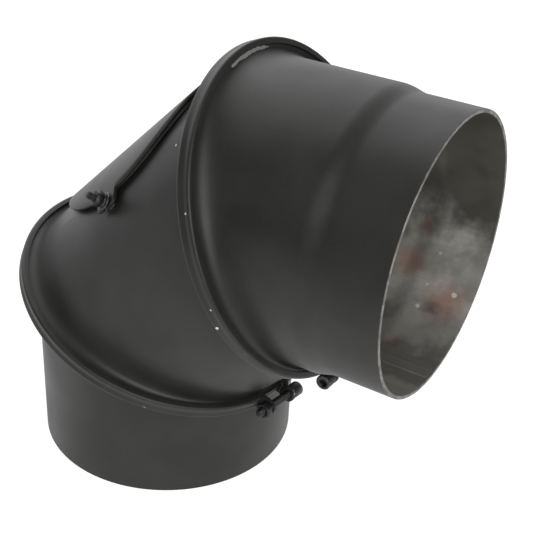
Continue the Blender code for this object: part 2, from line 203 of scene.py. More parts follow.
def bare_sheet(name, axes, rust=(), spatter=()):
    """Bare steel under painted shade, with (point on the piece, radius) for each rusty patch and paint spatter."""
    finish, tree, shader = start_finish(name)
    place = own_place(tree, axes)
    rolled = grain(tree, stretched(tree, place, (1.0, 1.0, 0.035)), 1300.0, 2.0)
    clouds = grain(tree, place, 26.0, 4.0, 0.6)
    colour = mixed(tree, between(tree, clouds, 0.40, 0.60), SHEET_CLOUD, SHEET_GREY)
    colour = mixed(tree, between(tree, rolled, 0.35, 0.75, 0.0, 0.45), colour, SHEET_CLOUD)
    for centre, radius in rust:
        away = tree.nodes.new("ShaderNodeVectorMath")
        away.operation = "DISTANCE"
        plug(tree, away.inputs[0], place)
        away.inputs[1].default_value = centre
        ragged = maths(tree, "ADD", away.outputs["Value"],
                       maths(tree, "MULTIPLY", grain(tree, place, 120.0, 3.0), radius))
        patch = between(tree, ragged, radius * 0.6, radius * 1.8, 0.80, 0.0)
        colour = mixed(tree, patch, colour, RUST)
    # Painted shade: the inside is darkened over its low-X side and along its high-X edge, measured on the piece's
    # own X with a ragged border.
    place_x = tree.nodes.new("ShaderNodeSeparateXYZ")
    plug(tree, place_x.inputs[0], place)
    ragged_x = maths(tree, "ADD", place_x.outputs[0],
                    between(tree, clouds, 0.3, 0.7, -0.012, 0.012))
    colour = mixed(tree, between(tree, ragged_x, *PAINTED_SHADE_LOW_X_EDGE, 0.92, 0.0), colour, PAINTED_SHADE_LOW_X)
    colour = mixed(tree, between(tree, ragged_x, *PAINTED_SHADE_HIGH_X_EDGE, 0.0, 0.75), colour, PAINTED_SHADE_HIGH_X)
    for centre, radius in spatter:
        colour = mixed(tree, spot(tree, place, centre, radius), colour, SPATTER)
    plug(tree, shader.inputs["Base Color"], colour)
    shader.inputs["Metallic"].default_value = 0.7
    sheen = between(tree, grain(tree, place, 60.0, 3.0), 0.3, 0.7, 0.34, 0.48)
    plug(tree, shader.inputs["Roughness"], sheen)
    marks = raised(tree, rolled, 0.000012)
    pits = raised(tree, between(tree, grain(tree, place, 700.0, 2.0), 0.66, 0.74), -0.00004, marks)
    plug(tree, shader.inputs["Normal"], pits)
    return finish


def cut_edge(name, axes):
    """A sheared edge: bright steel with fine marks across it, and some paint left on it."""
    finish, tree, shader = start_finish(name)
    place = own_place(tree, axes)
    left = between(tree, grain(tree, place, 180.0, 3.0, 0.6), 0.36, 0.62, 0.25, 0.80)
    colour = mixed(tree, left, (0.30, 0.285, 0.26, 1.0), PAINT_LIGHT)
    plug(tree, shader.inputs["Base Color"], colour)
    plug(tree, shader.inputs["Metallic"], maths(tree, "SUBTRACT", 1.0, left))
    shader.inputs["Roughness"].default_value = 0.48
    plug(tree, shader.inputs["Normal"], raised(tree, grain(tree, place, 2400.0, 2.0), 0.00002))
    return finish


BORE_RADIUS = 0.075
WALL = 0.002
TUBE_RADIUS = BORE_RADIUS + WALL
MITRE = math.radians(22.5)
RIM_RADIUS = TUBE_RADIUS / math.cos(MITRE) + 0.00466
RIM_GAP = 0.0012
BAND_FOOT = RIM_RADIUS - 0.0016
FLARE_LENGTH = 0.015
FLARE_SHARE, FLARE_ROOM = 0.8, 0.8
PLAIN_TUBE = 0.042
EDGE_ROUND = 0.00025
AROUND = 168
BEND_STEPS = 9
PAINTED, INSIDE, EDGE = 0, 1, 2


def axes_at(origin, along, across):
    """A frame with its Z along, and its X as near to across as it can be."""
    z = Vector(along).normalized()
    y = z.cross(Vector(across)).normalized()
    turn = Matrix((y.cross(z), y, z)).transposed().to_4x4()
    return Matrix.Translation(Vector(origin)) @ turn


def piece_from(name, bm, axes, finishes, crease=32):
    """A piece from a mesh in metres, placed on its axes and shaded smooth but for its edges."""
    bmesh.ops.remove_doubles(bm, verts=bm.verts, dist=1e-7)
    bmesh.ops.recalc_face_normals(bm, faces=bm.faces)
    bmesh.ops.transform(bm, matrix=axes, verts=bm.verts)
    mesh = bpy.data.meshes.new(name)
    bm.to_mesh(mesh)
    bm.free()
    mesh.shade_smooth()
    mesh.set_sharp_from_angle(angle=math.radians(crease))
    for finish in finishes:
        mesh.materials.append(finish)
    piece = bpy.data.objects.new(name, mesh)
    bpy.context.scene.collection.objects.link(piece)
    return piece


def skin(rows, bands=None, rubbed=None, around=True, closed=True):
    """Faces between rows of points. bands holds a finish for each step from row to row."""
    bm = bmesh.new()
    layer = bm.verts.layers.float.new("rubbed")
    loops = []
    for j, row in enumerate(rows):
        loop = [bm.verts.new(point) for point in row]
        if rubbed is not None:
            for i, vert in enumerate(loop):
                vert[layer] = rubbed(j, i)
        loops.append(loop)
    steps = len(rows) if closed else len(rows) - 1
    for j in range(steps):
        here, there = loops[j], loops[(j + 1) % len(rows)]
        for i in range(len(here) if around else len(here) - 1):
            k = (i + 1) % len(here)
            face = bm.faces.new((here[i], here[k], there[k], there[i]))
            face.material_index = bands[j] if bands else 0
    return bm


def rim_section(turn, outward):
    """One face of a rim at an angle round the tube, from the wall out to the rim's edge.

    outward is 1 for the face next to the clamp and 0 for the face in the joint. The rim plane
    passes the frame's origin and leans towards +X; the tube hangs below it.
    """
    normal = Vector((math.sin(MITRE), 0.0, math.cos(MITRE)))

    def where_wall_meets_rim(radius, offset):
        x, y = radius * math.cos(turn), radius * math.sin(turn)
        return Vector((x, y, (offset - normal.x * x) / normal.z))
    outer_offset = -(RIM_GAP / 2 + WALL)
    outer = where_wall_meets_rim(TUBE_RADIUS, outer_offset)
    reach = (outer - normal * outer_offset).length
    foot = outer.z - min(FLARE_LENGTH, FLARE_ROOM * (PLAIN_TUBE + outer.z))
    flat = reach + FLARE_SHARE * (BAND_FOOT - reach)

    offset = outer_offset if outward else -RIM_GAP / 2
    corner = outer if outward else where_wall_meets_rim(BORE_RADIUS, offset)
    centre = normal * offset
    way = (corner - centre).normalized()
    start, end = Vector((corner.x, corner.y, foot)), centre + way * flat
    points = []
    for step in range(BEND_STEPS + 1):
        t = step / BEND_STEPS
        points.append(start * (1 - t) ** 2 + corner * (2 * t * (1 - t)) + end * t * t)
    broken = normal * EDGE_ROUND * (1 if outward else -1)
    return points + [centre + way * (RIM_RADIUS - EDGE_ROUND), centre + way * RIM_RADIUS + broken]


def wall_section(turn, stations):
    """Points down a tube wall at an angle round it, for stations of (radius, height)."""
    return [Vector((radius * math.cos(turn), radius * math.sin(turn), height))
            for radius, height in stations]


def turns_round(count=AROUND):
    return [2 * math.pi * i / count for i in range(count)]


def pipe_end(radius, height, wall=WALL):
    """The squared-off end of a tube, its edges just broken, from outside to inside."""
    return ([(radius, height + EDGE_ROUND), (radius - EDGE_ROUND, height)],
            [(radius - wall + EDGE_ROUND, height), (radius - wall, height + EDGE_ROUND)])


def segment_rows(outside, end_outside, end_inside, inside):
    """Rows of points round a segment: up the outside, over the rim and down the inside."""
    sections = []
    for turn in turns_round():
        section = wall_section(turn, end_outside[::-1] + outside)
        section += rim_section(turn, 1)
        section += rim_section(turn, 0)[::-1]
        section += wall_section(turn, inside + end_inside[::-1])
        sections.append(section)
    return [list(row) for row in zip(*sections)]


def segment_bands(outside_count, inside_count):
    """A finish for each step of segment_rows."""
    rim = BEND_STEPS + 3
    bands = [EDGE] + [PAINTED] * (outside_count + rim + 2)
    bands += [INSIDE] * (inside_count + rim - 1) + [EDGE] * 2
    return bands


SEAM_WIDTH, SEAM_HEIGHT, SEAM_SUNK = 0.0085, 0.0008, 0.0003
SEAM_TURN = math.radians(-1.5)


def lap_seam(name, axes, wall_at, low, high, finish):
    """The sheet's lap inside a tube: a low strip along it, with its edges pressed down."""
    across = [(-1.0, -SEAM_SUNK), (-0.97, SEAM_HEIGHT * 0.75), (-0.9, SEAM_HEIGHT)]
    across += [(-0.45, SEAM_HEIGHT), (0.0, SEAM_HEIGHT), (0.45, SEAM_HEIGHT)]
    across += [(0.9, SEAM_HEIGHT), (0.97, SEAM_HEIGHT * 0.75), (1.0, -SEAM_SUNK)]
    across += [(0.5, -SEAM_SUNK), (-0.5, -SEAM_SUNK)]
    steps = 40
    rows = []
    for j in range(steps + 1):
        z = low + (high - low) * j / steps
        wall = wall_at(z)
        row = []
        for share, proud in across:
            turn = SEAM_TURN + share * SEAM_WIDTH / 2 / wall
            radius = wall - proud
            row.append((radius * math.cos(turn), radius * math.sin(turn), z))
        rows.append(row)
    bm = skin(rows, closed=False)
    bm.verts.ensure_lookup_table()
    for first in (0, steps * len(across)):
        bm.faces.new([bm.verts[first + i] for i in range(len(across))])
    return piece_from(name, bm, axes, [finish], crease=50)


lower_centre = Vector(joints["lower_swivel"]["pos_m"])
lower_foot = mounts["lower_pipe_end"]["pos_m"][2] - lower_centre.z
lower_axes = axes_at(lower_centre, (0, 0, 1), (1, 0, 0))

foot_out, foot_in = pipe_end(TUBE_RADIUS, lower_foot)
lower_rows = segment_rows([(TUBE_RADIUS, lower_foot * 0.72)], foot_out, foot_in,
                          [(BORE_RADIUS, lower_foot * 0.72)])
LOWER_RIM_EDGE = len(foot_out) + BEND_STEPS + 3
lower_finishes = [stove_paint("lower_pipe_paint", lower_axes),
                  bare_sheet("lower_pipe_inside", lower_axes),
                  cut_edge("lower_pipe_cut_edge", lower_axes)]


def rubbed_rim(j, i):
    """The lower rim's outer corner has lost its paint where the clamp was slid over it."""
    return 0.75 if j == LOWER_RIM_EDGE else 0.0


lower_pipe = piece_from(
    "lower_pipe_sheet", skin(lower_rows, segment_bands(1, 1), rubbed_rim), lower_axes,
    lower_finishes)
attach(lower_pipe, "lower_pipe")
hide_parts("lower_segment")
lower_seam = lap_seam("lower_pipe_lap_seam", lower_axes, lambda z: BORE_RADIUS,
                      lower_foot + 0.0015, -PLAIN_TUBE, lower_finishes[INSIDE])
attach(lower_seam, "lower_pipe")


# ---------------------------------------------------------------- middle pipe segment
# The same sheet, with a rim at each end and an oval inspection opening sheared in its heel. Its
# two bends face each other across a short throat.

OPENING_LENGTH = 0.101
OPENING_WIDTH = 0.087
COVER_RADIUS = 0.0811

upper_centre = Vector(joints["upper_swivel"]["pos_m"])
middle_centre = (lower_centre + upper_centre) / 2
middle_axes = axes_at(middle_centre, upper_centre - lower_centre, (1, 0, -1))
middle_half = (upper_centre - lower_centre).length / 2


def middle_sections():
    """Closed sections round the middle segment, each made of one half and its mirror image."""
    sections = []
    lift = Vector((0, 0, middle_half))
    flip = Matrix.Diagonal((1, 1, -1))
    for turn in turns_round():
        outside = [point + lift for point in rim_section(turn, 1)]
        inside = [point + lift for point in rim_section(turn, 0)]
        section = [flip @ point for point in outside[::-1]]
        section += wall_section(turn, [(TUBE_RADIUS, 0.0)]) + outside
        section += inside[::-1] + wall_section(turn, [(BORE_RADIUS, 0.0)])
        section += [flip @ point for point in inside]
        sections.append(section)
    return [list(row) for row in zip(*sections)]


rim_steps = BEND_STEPS + 1
middle_bands = ([PAINTED] * (2 * rim_steps + 6) + [INSIDE] * (2 * rim_steps + 2)
                + [PAINTED] * 2)
middle_finishes = [stove_paint("middle_pipe_paint", middle_axes,
                               [(on_round(TUBE_RADIUS, -140, 0.058), 0.0006)]),
                   bare_sheet("middle_pipe_inside", middle_axes),
                   cut_edge("middle_pipe_cut_edge", middle_axes)]
middle_pipe = piece_from("middle_pipe_sheet", skin(middle_sections(), middle_bands),
                         middle_axes, middle_finishes)


def heel_point(along, across, radius):
    """A point laid out flat at the cover's outside, rolled to a radius about the heel."""
    turn = across / COVER_RADIUS
    return (-radius * math.cos(turn), radius * math.sin(turn), along)


def oval(half_length, half_width, count=96):
    return [(half_length * math.cos(t), half_width * math.sin(t)) for t in turns_round(count)]


def rolled_blank(outline, inside, outside, rings=12, broken=0.0):
    """A flat blank rolled to the heel between two radii, with its edges broken."""
    bm = bmesh.new()
    shares = [(ring + 1) / rings for ring in range(rings)]
    surfaces = []
    for radius, inset in ((inside, broken), (outside, broken)):
        centre = bm.verts.new(heel_point(0, 0, radius))
        loops = []
        for share in shares:
            short = share - inset / 0.06 if share == 1.0 else share
            loops.append([bm.verts.new(heel_point(a * short, c * short, radius))
                          for a, c in outline])
        count = len(outline)
        for i in range(count):
            bm.faces.new((centre, loops[0][i], loops[0][(i + 1) % count]))
        for inner, outer in zip(loops, loops[1:]):
            for i in range(count):
                bm.faces.new((inner[i], inner[(i + 1) % count],
                              outer[(i + 1) % count], outer[i]))
        surfaces.append(loops[-1])
    lips = [surfaces[0]]
    if broken:
        for radius in (inside + broken, outside - broken):
            lips.append([bm.verts.new(heel_point(a, c, radius)) for a, c in outline])
    lips.append(surfaces[1])
    for low, high in zip(lips, lips[1:]):
        for i in range(len(outline)):
            k = (i + 1) % len(outline)
            face = bm.faces.new((low[i], low[k], high[k], high[i]))
            face.material_index = 1
    return bm


def cut_away(piece, tool, operation="DIFFERENCE"):
    """Cuts a piece with a tool that isn't shown, or joins it on."""
    tool.hide_render = True
    tool.hide_viewport = False
    tool.display_type = "WIRE"
    boolean = piece.modifiers.new(tool.name, "BOOLEAN")
    boolean.operation = operation
    boolean.solver = "EXACT"
    boolean.object = tool


shears = piece_from("opening_shears",
                    rolled_blank(oval(OPENING_LENGTH / 2, OPENING_WIDTH / 2),
                                 TUBE_RADIUS - 3 * WALL, TUBE_RADIUS + WALL),
                    middle_axes, [middle_finishes[EDGE], middle_finishes[EDGE]])
cut_away(middle_pipe, shears)
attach(middle_pipe, "middle_pipe")
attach(shears, "middle_pipe")
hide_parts("middle_segment")


# ---------------------------------------------------------------- upper pipe segment
# The outlet: a tube like the lower one, whose mouth is drawn down by 5 mm over a soft shoulder so
# that it slips into the next pipe. Its lap seam stands proud inside, along the throat.

SPIGOT_RADIUS = 0.0745
SHOULDER_START, SHOULDER_END = PLAIN_TUBE, 0.055

upper_axes = axes_at(upper_centre, (-1, 0, 0), (0, 0, -1))
mouth_depth = mounts["upper_pipe_end"]["pos_m"][0] - upper_centre.x


def outlet_radius(depth):
    """The outlet's outside radius at a depth from its rim's centre towards the mouth."""
    t = (depth - SHOULDER_START) / (SHOULDER_END - SHOULDER_START)
    t = min(1.0, max(0.0, t))
    return TUBE_RADIUS + (SPIGOT_RADIUS - TUBE_RADIUS) * t * t * (3 - 2 * t)


shoulder = [SHOULDER_START + (SHOULDER_END - SHOULDER_START) * i / 8 for i in range(9)]
outlet_outside = [(outlet_radius(depth), -depth) for depth in shoulder[::-1]]
outlet_inside = [(outlet_radius(depth) - WALL, -depth) for depth in shoulder]
mouth_out, mouth_in = pipe_end(SPIGOT_RADIUS, -mouth_depth)
upper_rows = segment_rows(outlet_outside, mouth_out, mouth_in, outlet_inside)



def marks_inside(marks):
    """Marks given as (degrees round, millimetres in from the rim's centre, radius in mm)."""
    return [(on_round(outlet_radius(depth / 1000) - WALL, degrees, -depth / 1000), radius / 1000)
            for degrees, depth, radius in marks]


THUMBED = marks_inside([(-71, 48, 6), (-54, 45, 11), (-40, 73, 14), (-12, 59, 5), (-103, 76, 5)])
SPATTERED = marks_inside([(-35, 60, 1.2), (-45, 77, 1.5), (-46, 60, 0.9), (-61, 61, 0.8)])
upper_finishes = [stove_paint("upper_pipe_paint", upper_axes),
                  bare_sheet("upper_pipe_inside", upper_axes, THUMBED, SPATTERED),
                  cut_edge("upper_pipe_cut_edge", upper_axes)]
RUB_TURN, RUB_SPREAD = math.radians(177), math.radians(20)
FLARE_TOP = len(mouth_out) + len(outlet_outside) + BEND_STEPS


def rubbed_flare(j, i):
    """A stretch of the flare, at the heel next to the clamp, that is rubbed down to steel."""
    turn = 2 * math.pi * i / AROUND
    off = abs((turn - RUB_TURN + math.pi) % (2 * math.pi) - math.pi) / RUB_SPREAD
    on_top = {FLARE_TOP - 2: 0.6, FLARE_TOP - 1: 1.0, FLARE_TOP: 0.95}.get(j, 0.0)
    return on_top * max(0.0, 1.0 - off ** 2)


upper_pipe = piece_from("upper_pipe_sheet", skin(upper_rows, segment_bands(9, 9), rubbed_flare),
                        upper_axes, upper_finishes)
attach(upper_pipe, "upper_pipe")
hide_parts("upper_segment")
upper_seam = lap_seam("upper_pipe_lap_seam", upper_axes,
                      lambda z: outlet_radius(-z) - WALL, -mouth_depth + 0.0015, -0.030,
                      upper_finishes[INSIDE])
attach(upper_seam, "upper_pipe")


# ---------------------------------------------------------------- clamp rings
# Each is a strip of 1.2 mm steel rolled into a U and then into a ring that grips both rims, with
# a shallow bead rolled into its crest. Its ends are bent out into lugs with a round top.

BAND_SHEET = 0.0012
BAND_HALF = RIM_GAP / 2 + WALL + 0.0003 + BAND_SHEET
BAND_CREST = RIM_RADIUS + 0.0003 + 0.0005 + BAND_SHEET - 0.00005
BAND_GROOVE = 0.0005
SHOULDER = 0.0014
LUG_GAP = 0.016
LUG_SHEET = 0.002
LUG_HALF_WIDTH = 0.0045
LUG_BEND = 0.0022
THREAD_RADIUS = 0.0025


def arc(centre, radius, start, end, steps):
    """Points on an arc in (radius, height), with its angles in degrees."""
    out = []
    for i in range(steps + 1):
        a = math.radians(start + (end - start) * i / steps)
        out.append((centre[0] + radius * math.cos(a), centre[1] + radius * math.sin(a)))
    return out


def band_profile():
    """The section of the strip, as (radius, height) points all round it."""
    crest, half = BAND_CREST, BAND_HALF
    outer = [(BAND_FOOT, -half)] + arc((crest - SHOULDER, -half + SHOULDER), SHOULDER, -90, 0, 6)
    outer += [(crest - BAND_GROOVE * (0.5 + 0.5 * math.cos(math.pi * z / (half - SHOULDER))), z)
              for z in [(half - SHOULDER) * (i / 6 - 1) for i in range(1, 12)]]
    outer += arc((crest - SHOULDER, half - SHOULDER), SHOULDER, 0, 90, 6) + [(BAND_FOOT, half)]
    inset = half - BAND_SHEET
    inner_crest = crest - BAND_SHEET
    inner = [(BAND_FOOT, inset), (inner_crest - 0.0006, inset), (inner_crest, inset - 0.0006),
             (inner_crest - BAND_GROOVE, 0.0), (inner_crest, 0.0006 - inset),
             (inner_crest - 0.0006, -inset), (BAND_FOOT, -inset)]
    return outer + inner


def ring_band(name, axes, finish):
    """The strip rolled round from one side of its gap to the other, with closed ends."""
    profile = band_profile()
    gap_turn = math.asin((LUG_GAP / 2) / BAND_CREST)
    steps = 200
    bm = bmesh.new()
    layer = bm.verts.layers.float.new("rubbed")
    stops = []
    for j in range(steps + 1):
        turn = gap_turn + (2 * math.pi - 2 * gap_turn) * j / steps
        stop = []
        for radius, height in profile:
            vert = bm.verts.new((radius * math.cos(turn), radius * math.sin(turn), height))
            ridge = radius > BAND_CREST - 0.0002
            vert[layer] = 0.42 if ridge else 0.15
            stop.append(vert)
        stops.append(stop)
    for here, there in zip(stops, stops[1:]):
        for i in range(len(profile)):
            k = (i + 1) % len(profile)
            bm.faces.new((here[i], here[k], there[k], there[i]))
    for end in (stops[0], stops[-1]):
        bm.faces.new(end)
    return piece_from(name, bm, axes, [finish], crease=50)


def lug(name, axes, side, screw_radius, finish):
    """One end of the strip, bent out from the ring and rounded over its screw hole."""
    middle_y = LUG_GAP / 2 + LUG_SHEET / 2
    foot = BAND_CREST - BAND_SHEET / 2
    line = []
    for i in range(7):
        a = math.pi / 2 * i / 6
        line.append((foot + LUG_BEND * (1 - math.cos(a)),
                     middle_y + LUG_BEND * (1 - math.sin(a))))
    top = screw_radius + LUG_HALF_WIDTH
    upright = [foot + LUG_BEND, screw_radius - 0.001]
    upright += [screw_radius + LUG_HALF_WIDTH * math.sin(math.radians(a))
                for a in (0, 15, 30, 45, 60, 72, 82, 90)]
    line = line[:-1] + [(min(r, top), middle_y) for r in upright]
    bm = bmesh.new()
    layer = bm.verts.layers.float.new("rubbed")
    rows = []
    for radius, y in line:
        over = max(0.0, radius - screw_radius)
        half = math.sqrt(max(0.0, LUG_HALF_WIDTH ** 2 - over ** 2))
        half = max(half, 0.0004)
        row = []
        for i in range(9):
            vert = bm.verts.new((radius, side * y, half * (i / 4 - 1)))
            vert[layer] = 0.55 if i in (0, 8) or over > LUG_HALF_WIDTH * 0.9 else 0.2
            row.append(vert)
        rows.append(row)
    for here, there in zip(rows, rows[1:]):
        for i in range(8):
            bm.faces.new((here[i], here[i + 1], there[i + 1], there[i]))
    tab = piece_from(name, bm, axes, [finish], crease=40)
    sheet = tab.modifiers.new("sheet", "SOLIDIFY")
    sheet.thickness = LUG_SHEET
    sheet.offset = 0.0
    sheet.use_even_offset = True
    drill = piece_from(name + "_drill", round_bar(THREAD_RADIUS + 0.0003, 4 * LUG_SHEET, 32),
                       axes @ Matrix.Translation((screw_radius, side * middle_y, 0))
                       @ Matrix.Rotation(math.pi / 2, 4, "X"), [finish])
    cut_away(tab, drill)
    edge = tab.modifiers.new("broken_edges", "BEVEL")
    edge.width = 0.00025
    edge.segments = 2
    edge.limit_method = "ANGLE"
    edge.angle_limit = math.radians(50)
    return tab, drill


def round_bar(radius, length, sides):
    bm = bmesh.new()
    bmesh.ops.create_cone(bm, cap_ends=True, segments=sides, radius1=radius, radius2=radius,
                          depth=length)
    return bm


BAND_FACE = BAND_CREST - BAND_GROOVE / 2
BAND_CHIPS = {"lower": [],
              "upper": [(on_round(BAND_FACE, 77, 0.0), 0.0006),
                        (on_round(BAND_FACE, 70, 0.002), 0.0008),
                        (on_round(BAND_FACE, 108, -0.001), 0.0006)]}
clamps = {}
for side in ("lower", "upper"):
    swivel = Vector(joints[side + "_swivel"]["pos_m"])
    screw_seat = Vector(joints[side + "_screw_turn"]["pos_m"]) - swivel
    screw_way = Vector(joints[side + "_screw_turn"]["axis"]).normalized()
    outward = screw_seat - screw_way * screw_seat.dot(screw_way)
    clamp_axes = axes_at(swivel, outward.cross(screw_way), outward)
    clamps[side] = (clamp_axes, outward.length, screw_seat.dot(screw_way))
    band_paint = stove_paint(side + "_clamp_paint", clamp_axes, BAND_CHIPS[side])
    band = ring_band(side + "_clamp_band", clamp_axes, band_paint)
    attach(band, side + "_clamp")
    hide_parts(side + "_clamp_ring")
    for end, way in (("head", 1), ("nut", -1)):
        tab, drill = lug(f"{side}_clamp_{end}_lug", clamp_axes, way, outward.length, band_paint)
        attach(tab, side + "_clamp")
        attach(drill, side + "_clamp")


# ---------------------------------------------------------------- clamp screws and nuts
# Blackened M5 socket-head screws draw the lugs together. Each has a head with a hexagon
# socket, a rolled thread and a plain hexagon nut.

BLACKENED = (0.022, 0.022, 0.023, 1.0)
BLACKENED_WORN = (0.17, 0.165, 0.16, 1.0)
PITCH = 0.0008
THREAD_DEPTH = 0.00045
SCREW_LENGTH = 0.029
HEAD_RADIUS, HEAD_HEIGHT = 0.00425, 0.008
SOCKET_FLATS, SOCKET_DEPTH = 0.004, 0.003
NUT_FLATS, NUT_HEIGHT = 0.008, 0.005


def blackened_steel(name, axes):
    """Steel chemically blackened and oiled, rubbed grey on its high spots."""
    finish, tree, shader = start_finish(name)
    place = own_place(tree, axes)
    rubbed = tree.nodes.new("ShaderNodeAttribute")
    rubbed.attribute_name = "rubbed"
    patchy = grain(tree, place, 700.0, 3.0, 0.6)
    worn = between(tree, maths(tree, "ADD", rubbed.outputs["Fac"], patchy), 0.85, 1.25)
    plug(tree, shader.inputs["Base Color"], mixed(tree, worn, BLACKENED, BLACKENED_WORN))
    shader.inputs["Metallic"].default_value = 0.5
    sheen = between(tree, patchy, 0.3, 0.7, 0.36, 0.52)
    plug(tree, shader.inputs["Roughness"], sheen)
    plug(tree, shader.inputs["Normal"], raised(tree, grain(tree, place, 3500.0, 2.0), 0.00001))
    return finish


def threaded(radius, low, high, name, axes, finish, cap=None):
    """A threaded rod between two heights: one long ridge wound round it, with pointed ends."""
    sides, per_turn = 24, 6
    steps = int(round((high - low) / PITCH * per_turn))
    rows = []
    for j in range(steps + 1):
        z = low + (high - low) * j / steps
        taper = min(1.0, min(z - low, high - z) / PITCH + 0.15)
        row = []
        for i in range(sides):
            turn = 2 * math.pi * i / sides
            phase = (z / PITCH - turn / (2 * math.pi)) % 1.0
            ridge = min(1.0, 2.6 * min(phase, 1.0 - phase))
            r = radius - THREAD_DEPTH * (1 - ridge * taper)
            r = min(r, radius - THREAD_DEPTH * 1.4 + min(z - low, high - z))
            row.append((r * math.cos(turn), r * math.sin(turn), z))
        rows.append(row)
    bm = skin(rows, closed=False, rubbed=lambda j, i: 0.3)
    bm.verts.ensure_lookup_table()
    for first in (0, steps * sides):
        bm.faces.new([bm.verts[first + i] for i in range(sides)])
    return piece_from(name, bm, axes, [finish], crease=60)


def lathe(name, profile, axes, finish, steps=48, worn=None, crease=32):
    """A (radius, height) profile turned about the axis. It starts and ends on the axis or
    closes on itself."""
    on_axis = profile[0][0] == 0.0
    bm = bmesh.new()
    layer = bm.verts.layers.float.new("rubbed")
    columns = []
    for i in range(steps):
        turn = 2 * math.pi * i / steps
        column = []
        for j, (radius, height) in enumerate(profile):
            vert = bm.verts.new((radius * math.cos(turn), radius * math.sin(turn), height))
            vert[layer] = worn(j) if worn else 0.3
            column.append(vert)
        columns.append(column)
    last = len(profile) - 1 if on_axis else len(profile)
    for i in range(steps):
        here, there = columns[i], columns[(i + 1) % steps]
        for j in range(last):
            k = (j + 1) % len(profile)
            bm.faces.new((here[j], there[j], there[k], here[k]))
    return piece_from(name, bm, axes, [finish], crease=crease)


def hexagon_bar(flats, low, high):
    bm = bmesh.new()
    bmesh.ops.create_cone(bm, cap_ends=True, segments=6, radius1=flats / math.sqrt(3),
                          radius2=flats / math.sqrt(3), depth=high - low)
    bmesh.ops.translate(bm, vec=(0, 0, (high + low) / 2), verts=bm.verts)
    return bm


def hexagon_nut(name, axes, finish, flats, height, bore):
    """A hexagon bar chamfered on the corners at both ends, drilled, with fine edges."""
    corner = flats / math.sqrt(3)
    chamfer = corner - flats / 2 * 0.98
    nut = piece_from(name, hexagon_bar(flats, 0.0, height), axes, [finish], crease=25)
    turned_blank = lathe(name + "_blank", [
        (0.0, 0.0), (corner - chamfer, 0.0), (corner + 0.0002, chamfer * 0.62),
        (corner + 0.0002, height - chamfer * 0.62), (corner - chamfer, height),
        (0.0, height)], axes, finish, 96)
    cut_away(nut, turned_blank, "INTERSECT")
    drill = piece_from(name + "_drill", round_bar(bore, 4 * height, 32), axes, [finish])
    cut_away(nut, drill)
    return nut, [turned_blank, drill]


for side in ("lower", "upper"):
    clamp_axes, screw_radius, seat = clamps[side]
    steel = blackened_steel(side + "_clamp_fastener_steel", clamp_axes)
    screw_axes = (clamp_axes @ Matrix.Translation((screw_radius, seat, 0))
                  @ Matrix.Rotation(-math.pi / 2, 4, "X"))
    head = lathe(side + "_clamp_screw_head", [
        (0.0, 0.0), (HEAD_RADIUS - 0.0003, 0.0), (HEAD_RADIUS, 0.0003),
        (HEAD_RADIUS, HEAD_HEIGHT - 0.0006), (HEAD_RADIUS - 0.0002, HEAD_HEIGHT - 0.0002),
        (HEAD_RADIUS - 0.0006, HEAD_HEIGHT), (0.0, HEAD_HEIGHT)],
        screw_axes, steel, 72, worn=lambda j: 0.5 if j in (3, 4, 5) else 0.25)
    key = piece_from(side + "_clamp_screw_key",
                     hexagon_bar(SOCKET_FLATS, HEAD_HEIGHT - SOCKET_DEPTH, HEAD_HEIGHT * 1.5),
                     screw_axes, [steel])
    cut_away(head, key)
    shank = threaded(THREAD_RADIUS - 0.00015, -SCREW_LENGTH, 0.0002,
                     side + "_clamp_screw_thread", screw_axes, steel)
    for part in (head, key, shank):
        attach(part, side + "_screw")
    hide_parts(side + "_clamp_screw")

    nut_axes = (clamp_axes @ Matrix.Translation((screw_radius, -seat, 0))
                @ Matrix.Rotation(math.pi / 2, 4, "X") @ Matrix.Rotation(math.pi / 6, 4, "Z"))
    nut, tools = hexagon_nut(side + "_clamp_hex_nut", nut_axes, steel, NUT_FLATS, NUT_HEIGHT,
                             THREAD_RADIUS + 0.00015)
    for part in [nut] + tools:
        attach(part, side + "_clamp")
    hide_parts(side + "_clamp_nut")


# ---------------------------------------------------------------- joint seals and gasket
# Flat strips of pressed dark grey heat-resisting fibre, one between each pair of rims and an oval one
# under the cover. They are laid in loose and held by the clamping.


def pressed_fibre(name, axes):
    finish, tree, shader = start_finish(name)
    place = own_place(tree, axes)
    strands = grain(tree, stretched(tree, place, (1.0, 1.0, 0.3)), 1100.0, 4.0, 0.65)
    soot = grain(tree, place, 60.0, 3.0)
    colour = mixed(tree, strands, (0.030, 0.029, 0.027, 1.0), (0.085, 0.082, 0.076, 1.0))
    colour = mixed(tree, between(tree, soot, 0.45, 0.75, 0.0, 0.6), colour,
                   (0.016, 0.015, 0.014, 1.0))
    plug(tree, shader.inputs["Base Color"], colour)
    shader.inputs["Roughness"].default_value = 0.93
    plug(tree, shader.inputs["Normal"], raised(tree, strands, 0.00015))
    return finish


fibre = pressed_fibre("pressed_fibre", middle_axes)
for node in ("lower_joint_seal", "upper_joint_seal", "cover_gasket"):
    seal = frame["nodes"][node]
    for place_on_list in range(len(seal.material_slots)):
        seal.material_slots[place_on_list].material = fibre


# ---------------------------------------------------------------- inspection cover
# An oval of the same 2 mm sheet, rolled to lie over the heel, with a forked tab at each side that
# slides over a stud. Its edges are just rounded over.

COVER_SHEET = 0.002
COVER_LAP = 0.013
STUD_ARC = OPENING_WIDTH / 2 + 0.018
TAB_HALF_WIDTH = 0.0078
TAB_PAST_STUD = 0.0040
SLOT_HALF_WIDTH = THREAD_RADIUS + 0.0006
COVER_BROKEN_EDGE = 0.0004


